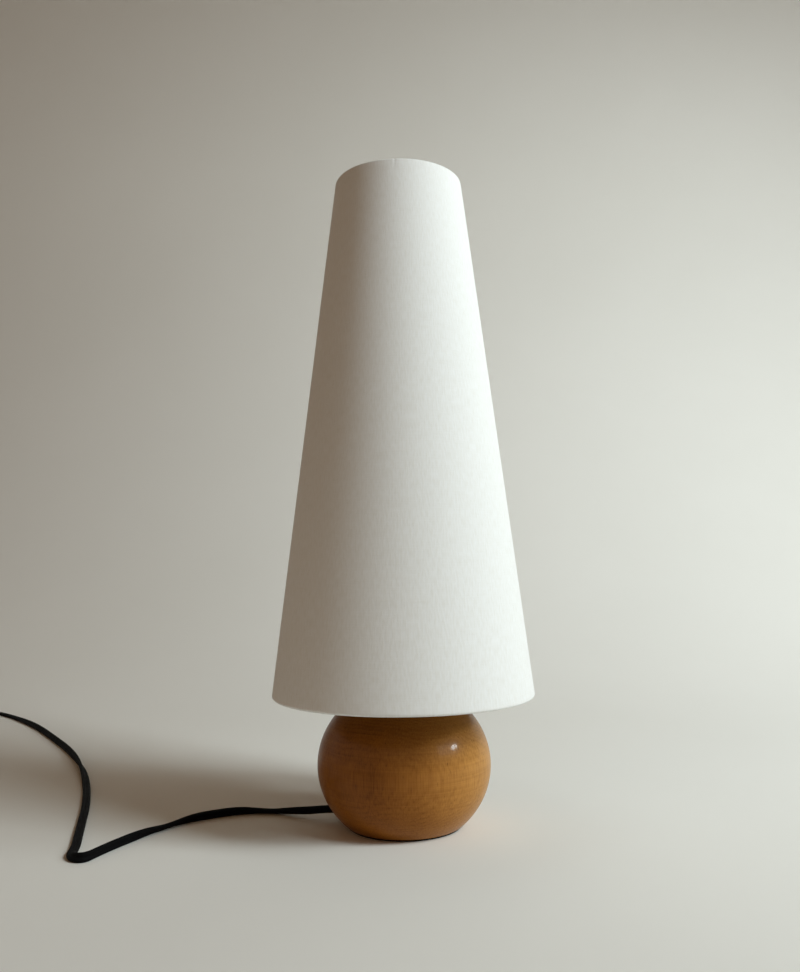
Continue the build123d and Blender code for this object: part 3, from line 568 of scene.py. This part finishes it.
def coil_route(sizes, start, heading):
    """Points of the coil after a route's end: in on the lower layer, up, and out to a straight tail."""
    layer_turns = 1.5
    climb_turns = 0.5
    per_turn = 16
    outer = sizes.coil_radius + sizes.coil_pitch * layer_turns / 2
    left = Vector((-heading.y, heading.x, 0))
    centre = start + heading * sizes.width + left * outer
    first_angle = math.atan2(-left.y, -left.x)
    total = 2 * layer_turns + climb_turns
    # The points that steer a curve stand a little outside it
    steered = 1 / math.cos(math.pi / per_turn)
    points = []
    for step in range(1, round(per_turn * total)):
        turns = step / per_turn
        climb = min(1.0, max(0.0, (turns - layer_turns) / climb_turns))
        inward = min(turns, layer_turns) - max(0.0, turns - layer_turns - climb_turns)
        radius = outer - sizes.coil_pitch * (inward + math.sin(math.pi * climb) / 2)
        angle = first_angle + 2 * math.pi * turns
        flat = Vector((math.cos(angle), math.sin(angle), 0)) * (radius * steered)
        lift = sizes.coil_step * smoothstep(0.0, 1.0, climb)
        points.append(centre + flat + Vector((0, 0, start.z - centre.z + lift)))
    end = centre + left * outer + Vector((0, 0, start.z - centre.z + sizes.coil_step))
    return points + [end - heading * sizes.width, end - heading * sizes.coil_tail]


def twist_at(run):
    """Degrees that the cord's wide side stands up at a distance from the ball."""
    twist = CORD_TWIST[0][1]
    for (low, _), (high, turn) in zip(CORD_TWIST, CORD_TWIST[1:]):
        twist += (turn - twist) * smoothstep(low, high, run)
    return twist


def cord_section(sizes):
    """Outline of two round leads joined side by side, as (across, up) points."""
    lead = sizes.thickness / 2
    apart = sizes.width / 2 - lead
    reach_deg, step_deg = 110, 20
    shoulder_share = 0.3
    right = [math.radians(angle) for angle in range(-reach_deg, reach_deg + 1, step_deg)]
    outline = [(apart + lead * math.cos(a), lead * math.sin(a)) for a in right]
    waist = lead - sizes.groove
    shoulder = (apart * shoulder_share, (waist + lead * math.sin(right[-1])) / 2)
    outline += [shoulder, (0.0, waist), (-shoulder[0], shoulder[1])]
    outline += [(-across, -up) for across, up in outline[: len(right)]]
    outline += [(-shoulder[0], -shoulder[1]), (0.0, -waist), (shoulder[0], -shoulder[1])]
    return outline


class LAMP_OT_camera(Operator):
    """Set the camera at the photograph's viewing angle"""

    bl_idname = "lamp.camera"
    bl_label = "Camera"

    def execute(self, context):
        yaw = math.radians(CAMERA_YAW_DEG)
        pitch = math.radians(CAMERA_PITCH_DEG)
        roll = math.radians(CAMERA_ROLL_DEG)
        ahead = Vector((math.sin(yaw) * math.cos(pitch), math.cos(yaw) * math.cos(pitch), math.sin(pitch)))
        level = Vector((math.cos(yaw), -math.sin(yaw), 0))
        above = level.cross(ahead)
        right = level * math.cos(roll) + above * math.sin(roll)
        up = above * math.cos(roll) - level * math.sin(roll)
        lens = bpy.data.cameras.new("camera")
        lens.sensor_fit = "HORIZONTAL"
        lens.sensor_width = CAMERA_SENSOR_MM
        lens.lens = CAMERA_LENS_MM
        lens.clip_start = 0.01
        camera = bpy.data.objects.new("camera", lens)
        turn = Matrix((right, up, -ahead)).transposed().to_4x4()
        camera.matrix_world = Matrix.Translation(CAMERA_PLACE) @ turn
        context.scene.collection.objects.link(camera)
        context.scene.camera = camera
        return {"FINISHED"}


class LAMP_OT_cord(Operator):
    """Lay the flat cord along its route, standing on edge through the fold, and coil its spare length"""

    bl_idname = "lamp.cord"
    bl_label = "Cord"

    def execute(self, context):
        sizes = context.scene.lamp_cord
        route = [Vector(point) for point in CORD_ROUTE]
        heading = (route[-1] - route[-2]).normalized()
        steps_per_point = 10
        line = spline_line(route + coil_route(sizes, route[-1], heading), steps_per_point)
        section = cord_section(sizes)
        bm = bmesh.new()
        rings = []
        run = 0.0
        for index, point in enumerate(line):
            before = line[max(0, index - 1)]
            after = line[min(len(line) - 1, index + 1)]
            run += (point - before).length
            way = (after - before).normalized()
            across = Vector((0, 0, 1)).cross(way).normalized()
            upright = way.cross(across)
            roll = math.radians(twist_at(run))
            wide = across * math.cos(roll) + upright * math.sin(roll)
            thin = upright * math.cos(roll) - across * math.sin(roll)
            rings.append([bm.verts.new(point + wide * a + thin * b) for a, b in section])
        close_tube(bm, rings)
        strap = self.strap(sizes, heading)
        cord = new_piece("flat_cord", bm, vinyl_sheath(sizes))
        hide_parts("cord_run", "cord_coil")
        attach(cord, "base")
        return {"FINISHED"}

    def strap(self, sizes, out):
        """A strap drawn round the coil's two layers, with its end lapped over on top."""
        low, high = (Vector(corner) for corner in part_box("coil_tie"))
        middle = (low + high) / 2
        along = Vector((-out.y, out.x, 0))
        half_wide = (sizes.coil_pitch + sizes.width + sizes.tie_thickness) / 2 + sizes.tie_gap
        half_high = (sizes.coil_step + sizes.thickness + sizes.tie_thickness) / 2 + sizes.tie_gap
        squareness = 5
        start = math.radians(60)
        steps = 120
        # In turns: where the strap climbs over its own start, where its end curls up, and where it stops
        climb, curl, lap = 0.88, 1.1, 1.22
        climb_height, curl_height = 1.1 * sizes.tie_thickness, 0.0011
        edge = [(0.5, 0.0), (0.47, 0.42), (0.4, 0.5), (0.0, 0.5), (-0.4, 0.5), (-0.47, 0.42)]
        section = [(a * sizes.tie_width, b * sizes.tie_thickness) for a, b in edge]
        section += [(-a, -b) for a, b in section]
        bm = bmesh.new()
        rings = []
        for step in range(round(steps * lap) + 1):
            turn = step / steps
            angle = start + 2 * math.pi * turn
            way = Vector((math.cos(angle) / half_wide, math.sin(angle) / half_high))
            reach = (abs(way.x) ** squareness + abs(way.y) ** squareness) ** (-1 / squareness)
            flat = Vector((math.cos(angle), math.sin(angle))) * reach
            lean_out = math.copysign(abs(way.x * reach) ** (squareness - 1), way.x) / half_wide
            lean_up = math.copysign(abs(way.y * reach) ** (squareness - 1), way.y) / half_high
            away = (out * lean_out + Vector((0, 0, lean_up))).normalized()
            lift = climb_height * smoothstep(climb, 1.0, turn) + curl_height * smoothstep(curl, lap, turn)
            place = middle + out * flat.x + Vector((0, 0, flat.y)) + away * lift
            rings.append([bm.verts.new(place + along * a + away * b) for a, b in section])
        close_tube(bm, rings)
        bmesh.ops.recalc_face_normals(bm, faces=bm.faces)
        # Knitted nylon gives the eye a matt black pile with a fine speckle
        pile = dull_skin(
            "knitted_nylon", "#111112", "#242426", roughness=0.9, grit=0.0008, relief=0.6, Specular_IOR_Level=0.2
        )
        strap = new_piece("coil_strap", bm, pile)
        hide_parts("coil_tie")
        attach(strap, "base")
        return strap


class LAMP_OT_wood_base(Operator):
    """Finish the turned wooden ball"""

    bl_idname = "lamp.wood_base"
    bl_label = "Wooden ball"

    def execute(self, context):
        dress(turned_maple(context.scene.lamp_wood), "wood_base")
        return {"FINISHED"}


class LAMP_OT_felt_pad(Operator):
    """Cut the felt pad with a soft, slightly ragged edge"""

    bl_idname = "lamp.felt_pad"
    bl_label = "Felt pad"

    def execute(self, context):
        sizes = context.scene.lamp_felt
        low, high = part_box("felt_pad")
        thick = high[2] - low[2]
        steps = 180
        fray, frays_round, frays_up = 0.00025, 40, 3
        # Inset of the edge, in metres, at shares of the pad's thickness
        profile = [(-0.0006, 0.0), (-0.0001, 0.2), (0.0, 0.5), (-0.0001, 0.8), (-0.0005, 1.0)]
        bm = bmesh.new()
        rings = []
        for inset, share in profile:
            ring = []
            for step in range(steps):
                angle = 2 * math.pi * step / steps
                way = Vector((math.cos(angle), math.sin(angle), 0))
                ragged = fray * noise.noise(way * frays_round + Vector((0, 0, share * frays_up)))
                height = Vector((0, 0, low[2] + thick * share))
                ring.append(bm.verts.new(way * (sizes.radius + inset + ragged) + height))
            rings.append(ring)
        join_rings(bm, rings)
        for ring, height in ((rings[0], low[2]), (rings[-1], high[2])):
            middle = bm.verts.new((0, 0, height))
            for step in range(steps):
                edge = (ring[step], ring[(step + 1) % steps], middle)
                bm.faces.new(edge if height == high[2] else tuple(reversed(edge)))
        pad = new_piece("felt_disc", bm, wool_felt(sizes))
        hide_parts("felt_pad")
        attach(pad, "base")
        return {"FINISHED"}


class LAMP_OT_shade(Operator):
    """Wrap the cotton cone round its rings, with a lapped seam at the back and a pucker at the top rim"""

    bl_idname = "lamp.shade"
    bl_label = "Shade"

    seam_angle = math.radians(90)
    pucker_angle = math.radians(267.0)
    # Heights that the cloth stands off its cone and their reaches, in metres, and how close its waves are
    wave_height, waves_round, waves_up = 0.00016, 1.6, 7
    seam_height, seam_edge = 0.00042, 0.0006
    notch_height, notch_width, notch_length, notch_above = -0.00038, 0.0009, 0.0019, 0.0015
    crease_height, crease_width, crease_length = -0.00003, 0.0010, 0.004

    def profile(self, sizes, low_z, high_z):
        """Closed half section of the cloth: (radius, height, slant, 1 on the outside)."""
        roll = sizes.roll
        low = Vector((sizes.bottom_radius - roll, low_z + roll))
        high = Vector((sizes.top_radius - roll, high_z - roll))
        slant = (high - low).length
        along = (high - low) / slant
        out_angle = math.atan2(-along.x, along.y)
        hem_steps = 16
        side_steps = 110
        loop = []
        for radius, outside in ((roll, 1.0), (roll - sizes.cloth, 0.0)):
            side = []
            for step in range(hem_steps + 1):
                turn = sizes.hem_wrap * (1 - step / hem_steps)
                angle = out_angle - turn
                at = low + Vector((math.cos(angle), math.sin(angle))) * radius
                side.append((at.x, at.y, -turn * roll, outside))
            away = Vector((math.cos(out_angle), math.sin(out_angle))) * radius
            for step in range(1, side_steps):
                at = low + (high - low) * (step / side_steps) + away
                side.append((at.x, at.y, slant * step / side_steps, outside))
            for step in range(hem_steps + 1):
                turn = sizes.hem_wrap * step / hem_steps
                angle = out_angle + turn
                at = high + Vector((math.cos(angle), math.sin(angle))) * radius
                side.append((at.x, at.y, slant + turn * roll, outside))
            loop += side if outside else list(reversed(side))
        return loop, slant

    def angles(self):
        """Angles of the cloth's columns, closer together at the seam and the pucker."""
        # In degrees: steps, the room left between them, and how far the fine steps reach
        coarse, fine, room = 1.5, 0.25, 0.5
        seam_reach, pucker_reach = 7.0, 6.0
        spread = [math.radians(coarse * step) for step in range(round(360 / coarse))]
        for centre, reach in ((self.seam_angle, seam_reach), (self.pucker_angle, pucker_reach)):
            spread = [a for a in spread if abs(a - centre) > math.radians(reach + room)]
            count = round(reach / fine)
            spread += [centre + math.radians(fine * step) for step in range(-count, count + 1)]
        return sorted(spread)

    def lift(self, sizes, angle, radius, slant, top_slant, outside):
        """How far the cloth stands off its even cone."""
        way = Vector((math.cos(angle), math.sin(angle), 0))
        wave = self.wave_height * noise.noise(way * self.waves_round + Vector((0, 0, slant * self.waves_up)))
        lap = abs(angle - self.seam_angle) * radius
        half_seam = sizes.seam_width / 2
        seam = self.seam_height * (1 - smoothstep(half_seam - self.seam_edge, half_seam, lap)) * outside
        beside = (angle - self.pucker_angle) * radius
        from_rim = abs(top_slant + self.notch_above - slant)
        below_rim = max(0.0, top_slant - slant)
        notch = self.notch_height * math.exp(-((beside / self.notch_width) ** 2) - (from_rim / self.notch_length) ** 2)
        crease = self.crease_height * math.exp(-((beside / self.crease_width) ** 2) - below_rim / self.crease_length)
        return wave + seam + notch + crease

    def execute(self, context):
        sizes = context.scene.lamp_shade
        low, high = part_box("shade_cover")
        loop, slant = self.profile(sizes, low[2], high[2])
        angles = self.angles()
        bm = bmesh.new()
        uv = bm.loops.layers.uv.new("threads")
        columns = []
        for angle in angles:
            column = []
            for radius, height, up, outside in loop:
                out = radius + self.lift(sizes, angle, radius, up, slant, outside)
                column.append(bm.verts.new((out * math.cos(angle), out * math.sin(angle), height)))
            columns.append(column)
        mean_radius = (sizes.bottom_radius + sizes.top_radius) / 2
        for index, column in enumerate(columns):
            following = columns[(index + 1) % len(columns)]
            start = angles[index]
            stop = angles[index + 1] if index + 1 < len(angles) else angles[0] + 2 * math.pi
            for row in range(len(loop)):
                above = (row + 1) % len(loop)
                face = bm.faces.new((column[row], following[row], following[above], column[above]))
                places = ((start, row), (stop, row), (stop, above), (start, above))
                for corner, (angle, at) in zip(face.loops, places):
                    corner[uv].uv = (angle * mean_radius, loop[at][2])
        cover = new_piece("cotton_cone", bm, laminated_cotton(sizes))
        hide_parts("shade_cover")
        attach(cover, "shade")
        # Calendered styrene gives the eye a smooth, faintly warm white behind the cloth
        liner = dull_skin(
            "calendered_styrene", "#ECE9E1", "#E0DCD2", roughness=0.55, grit=0.02, relief=0.02, IOR=1.57
        )
        dress(liner, "shade_liner")
        # Dipped white enamel gives the eye a soft gloss that pools along the wire
        wire = dull_skin(
            "dipped_white_enamel", "#E9E6DE", "#D6D1C6", roughness=0.3, grit=0.006, relief=0.06, Coat_Weight=0.2
        )
        dress(wire, "shade_bottom_ring", "shade_spider")
        return {"FINISHED"}


class LAMP_OT_fittings(Operator):
    """Finish the pipe, its nut and washers, the neck, the harp and the finial"""

    bl_idname = "lamp.fittings"
    bl_label = "Fittings"

    def execute(self, context):
        # Zinc plating gives the eye a grey, slightly cloudy bright skin
        zinc = worked_metal("zinc_plated_steel", "#C4C6C8", "#9EA1A4", roughness=0.36, grit=0.004)
        dress(zinc, "lamp_pipe", "base_washer", "lock_washer", "base_nut", "cap_set_screw")
        # Nickel plating gives the eye a warm mirror with drawing lines along the wire
        nickel = worked_metal(
            "nickel_plated_wire", "#D2CCC0", "#B3ADA1", roughness=0.22, grit=0.0015, stretch=(1.0, 1.0, 0.08)
        )
        dress(nickel, "harp_saddle", "harp_hoop", "harp_sleeve_left", "harp_sleeve_right", "harp_stud")
        # Turned and lacquered brass gives the eye fine rings and a soft yellow shine
        brass = worked_metal(
            "turned_brass", "#D0A95C", "#A57F3A", roughness=0.27, grit=0.0012, stretch=(0.15, 0.15, 1.0)
        )
        dress(brass, "check_ring", "neck", "finial")
        return {"FINISHED"}


class LAMP_OT_socket(Operator):
    """Finish the screw socket, its switch and the leads inside it"""

    bl_idname = "lamp.socket"
    bl_label = "Socket"

    def execute(self, context):
        # Spun brass shell gives the eye a satin yellow with faint rings
        shell = worked_metal(
            "spun_brass", "#CBA55C", "#9C793C", roughness=0.33, grit=0.0015, stretch=(0.12, 0.12, 1.0)
        )
        dress(shell, "socket_cap", "socket_shell", "screw_shell", "centre_contact", "terminal_screws", "switch_shaft")
        # Pressed card gives the eye a tan fibrous mat
        card = dull_skin("pressed_card", "#9C8460", "#7E6746", roughness=0.9, grit=0.0015, relief=0.3)
        dress(card, "socket_liner")
        # Moulded phenolic gives the eye a black satin with a trace of brown
        phenolic = dull_skin(
            "moulded_phenolic", "#15120F", "#241D18", roughness=0.34, grit=0.003, relief=0.06, IOR=1.6
        )
        dress(phenolic, "socket_body", "switch_knob", "cord_bushing")
        dress(vinyl_sheath(context.scene.lamp_cord), "cord_inner", "socket_leads")
        return {"FINISHED"}


class LAMP_OT_bulb(Operator):
    """Finish the screw bulb"""

    bl_idname = "lamp.bulb"
    bl_label = "Bulb"

    def execute(self, context):
        # Opal glass gives the eye a milky white that light sinks into under a clean gloss
        opal = dull_skin(
            "blown_opal_glass",
            "#F3F0E8",
            "#EAE6DC",
            roughness=0.22,
            grit=0.03,
            relief=0.01,
            Subsurface_Weight=0.35,
            Subsurface_Scale=0.004,
        )
        dress(opal, "bulb_globe")
        # Rolled aluminium gives the eye a pale grey with faint bands round the screw
        cap = worked_metal(
            "rolled_aluminium", "#C9CACB", "#A9ABAC", roughness=0.32, grit=0.0015, stretch=(0.15, 0.15, 1.0)
        )
        dress(cap, "bulb_cap", "bulb_tip")
        # Black cap glass gives the eye a deep fire-polished gloss
        vitreous = dull_skin("fused_cap_glass", "#0B0B0C", "#141416", roughness=0.12, grit=0.004, relief=0.03)
        dress(vitreous, "bulb_insulator")
        return {"FINISHED"}


class LAMP_OT_plug(Operator):
    """Finish the plug and its blades"""

    bl_idname = "lamp.plug"
    bl_label = "Plug"

    def execute(self, context):
        # Moulded vinyl gives the eye a black eggshell with a fine spark-eroded grit
        body = dull_skin(
            "moulded_vinyl",
            "#0B0B0C",
            "#151516",
            roughness=0.62,
            grit=0.0009,
            relief=0.25,
            IOR=1.53,
            Specular_IOR_Level=0.15,
        )
        dress(body, "plug_body")
        # Blanked brass gives the eye a bright yellow with straight drag lines down each blade
        blade = worked_metal(
            "blanked_brass", "#CFAF6B", "#A98748", roughness=0.3, grit=0.0012, stretch=(1.0, 1.0, 0.1)
        )
        dress(blade, "plug_blades")
        return {"FINISHED"}


class LAMP_OT_stage(Operator):
    """Set a pale paper sweep, a window-like light from the right and an even room light"""

    bl_idname = "lamp.stage"
    bl_label = "Stage"

    # Sweep, in metres
    half_width = 2.4
    front = -1.7
    bend_start = 0.45
    bend_radius = 1.3
    wall_top = 2.6

    # Lights: where each stands, where it points and its size, in metres
    key = ((1.346, -0.777, 1.419), (0.0, 0.0, 0.16), (0.6, 0.6))
    spark = ((1.810, -0.451, 0.900), (0.0, 0.0, 0.16), (0.34, 0.15))
    wash = ((1.85, -0.15, 1.5), (0.75, 1.65, 0.0), (2.0, 2.0))
    wash_spread = math.radians(98)
    bounce = ((-1.6, -0.9, 0.5), (0.0, 0.0, 0.25), (1.4, 1.0))

    def execute(self, context):
        look = context.scene.lamp_stage
        sweep = self.paper_sweep(look)
        self.light(context, "window_light", self.key, look.key_power, look.daylight)
        self.light(context, "window_spark", self.spark, look.spark_power, look.daylight)
        wash = self.light(context, "backdrop_light", self.wash, look.wash_power, look.daylight)
        wash.spread = self.wash_spread
        self.light(context, "wall_bounce", self.bounce, look.fill_power, look.warmth)
        context.scene.world = self.room(look)
        context.scene.view_settings.view_transform = "Standard"
        return {"FINISHED"}

    def paper_sweep(self, look):
        """A sheet of paper that curves up from floor to backdrop."""
        # Matte paper gives the eye an even pale grey with the faintest mottle
        paper = dull_skin(
            "matte_backdrop_paper", look.paper, look.cloud, roughness=0.95, grit=0.4, relief=0.0
        )
        # From behind or below, the lamp is seen through the paper
        tree = paper.node_tree
        back = add(tree, "ShaderNodeNewGeometry").outputs["Backfacing"]
        eye = add(tree, "ShaderNodeLightPath").outputs["Is Camera Ray"]
        behind = add(tree, "ShaderNodeMath", {0: back, 1: eye}, operation="MULTIPLY")
        clear = add(tree, "ShaderNodeBsdfTransparent")
        front_side = tree.nodes["Principled BSDF"].outputs["BSDF"]
        sides = add(tree, "ShaderNodeMixShader", {0: behind.outputs[0], 1: front_side, 2: clear.outputs[0]})
        tree.links.new(sides.outputs[0], tree.nodes["Material Output"].inputs["Surface"])
        profile = [(self.front, 0.0), (self.bend_start, 0.0)]
        for step in range(1, look.segments + 1):
            angle = math.pi / 2 * step / look.segments
            ahead = self.bend_start + self.bend_radius * math.sin(angle)
            profile.append((ahead, self.bend_radius * (1 - math.cos(angle))))
        profile.append((self.bend_start + self.bend_radius, self.wall_top))
        bm = bmesh.new()
        rows = [[bm.verts.new((side * self.half_width, y, z)) for side in (-1, 1)] for y, z in profile]
        for row, following in zip(rows, rows[1:]):
            bm.faces.new((row[0], row[1], following[1], following[0]))
        return new_piece("paper_sweep", bm, paper)

    def room(self, look):
        """The room past the paper: seen and mirrored pale, while its light on the lamp is dim and warm."""
        world = bpy.data.worlds.new("room_light")
        world.use_nodes = True
        tree = world.node_tree
        dim = tree.nodes["Background"]
        dim.inputs["Color"].default_value = linear(look.warmth)
        dim.inputs["Strength"].default_value = look.sky
        pale = add(tree, "ShaderNodeBackground", {"Color": linear(look.room), "Strength": 1.0})
        path = add(tree, "ShaderNodeLightPath")
        mirrored = add(
            tree,
            "ShaderNodeMath",
            {0: path.outputs["Is Glossy Ray"], 1: path.outputs["Is Transmission Ray"]},
            operation="MAXIMUM",
        )
        seen = add(
            tree, "ShaderNodeMath", {0: path.outputs["Is Camera Ray"], 1: mirrored.outputs[0]}, operation="MAXIMUM"
        )
        either = add(tree, "ShaderNodeMixShader", {0: seen.outputs[0], 1: dim.outputs[0], 2: pale.outputs[0]})
        tree.links.new(either.outputs[0], tree.nodes["World Output"].inputs["Surface"])
        return world

    def light(self, context, name, stand, power, hex_colour):
        """A rectangular light that faces a target."""
        place, target, size = stand
        light = bpy.data.lights.new(name, "AREA")
        light.shape = "RECTANGLE"
        light.size, light.size_y = size
        light.energy = power
        light.color = linear(hex_colour)[:3]
        holder = bpy.data.objects.new(name, light)
        holder.visible_camera = False
        holder.location = place
        way = Vector(target) - Vector(place)
        holder.rotation_euler = way.to_track_quat("-Z", "Y").to_euler()
        context.scene.collection.objects.link(holder)
        return light


OPERATORS = (
    LAMP_OT_camera,
    LAMP_OT_cord,
    LAMP_OT_wood_base,
    LAMP_OT_felt_pad,
    LAMP_OT_shade,
    LAMP_OT_fittings,
    LAMP_OT_socket,
    LAMP_OT_bulb,
    LAMP_OT_plug,
    LAMP_OT_stage,
)


class LAMP_PT_panel(Panel):
    """Lists the lamp's pieces in the order they are made"""

    bl_idname = "LAMP_PT_panel"
    bl_label = "Table lamp"
    bl_space_type = "VIEW_3D"
    bl_region_type = "UI"
    bl_category = "Lamp"

    def draw(self, context):
        for operator in OPERATORS:
            self.layout.operator(operator.bl_idname)
        for group in GROUPS:
            box = self.layout.box()
            settings = getattr(context.scene, group)
            for name in settings.bl_rna.properties.keys():
                if name not in ("rna_type", "name"):
                    box.prop(settings, name)


def register():
    for name, group in GROUPS.items():
        bpy.utils.register_class(group)
        setattr(bpy.types.Scene, name, PointerProperty(type=group))
    for operator in OPERATORS:
        bpy.utils.register_class(operator)
    bpy.utils.register_class(LAMP_PT_panel)


def unregister():
    bpy.utils.unregister_class(LAMP_PT_panel)
    for operator in reversed(OPERATORS):
        bpy.utils.unregister_class(operator)
    for name, group in reversed(list(GROUPS.items())):
        delattr(bpy.types.Scene, name)
        bpy.utils.unregister_class(group)


def main():
    register()
    bpy.ops.lamp.camera()
    bpy.ops.lamp.cord()
    bpy.ops.lamp.wood_base()
    bpy.ops.lamp.felt_pad()
    bpy.ops.lamp.shade()
    bpy.ops.lamp.fittings()
    bpy.ops.lamp.socket()
    bpy.ops.lamp.bulb()
    bpy.ops.lamp.plug()
    bpy.ops.lamp.stage()
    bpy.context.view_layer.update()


if __name__ == "__main__":
    main()
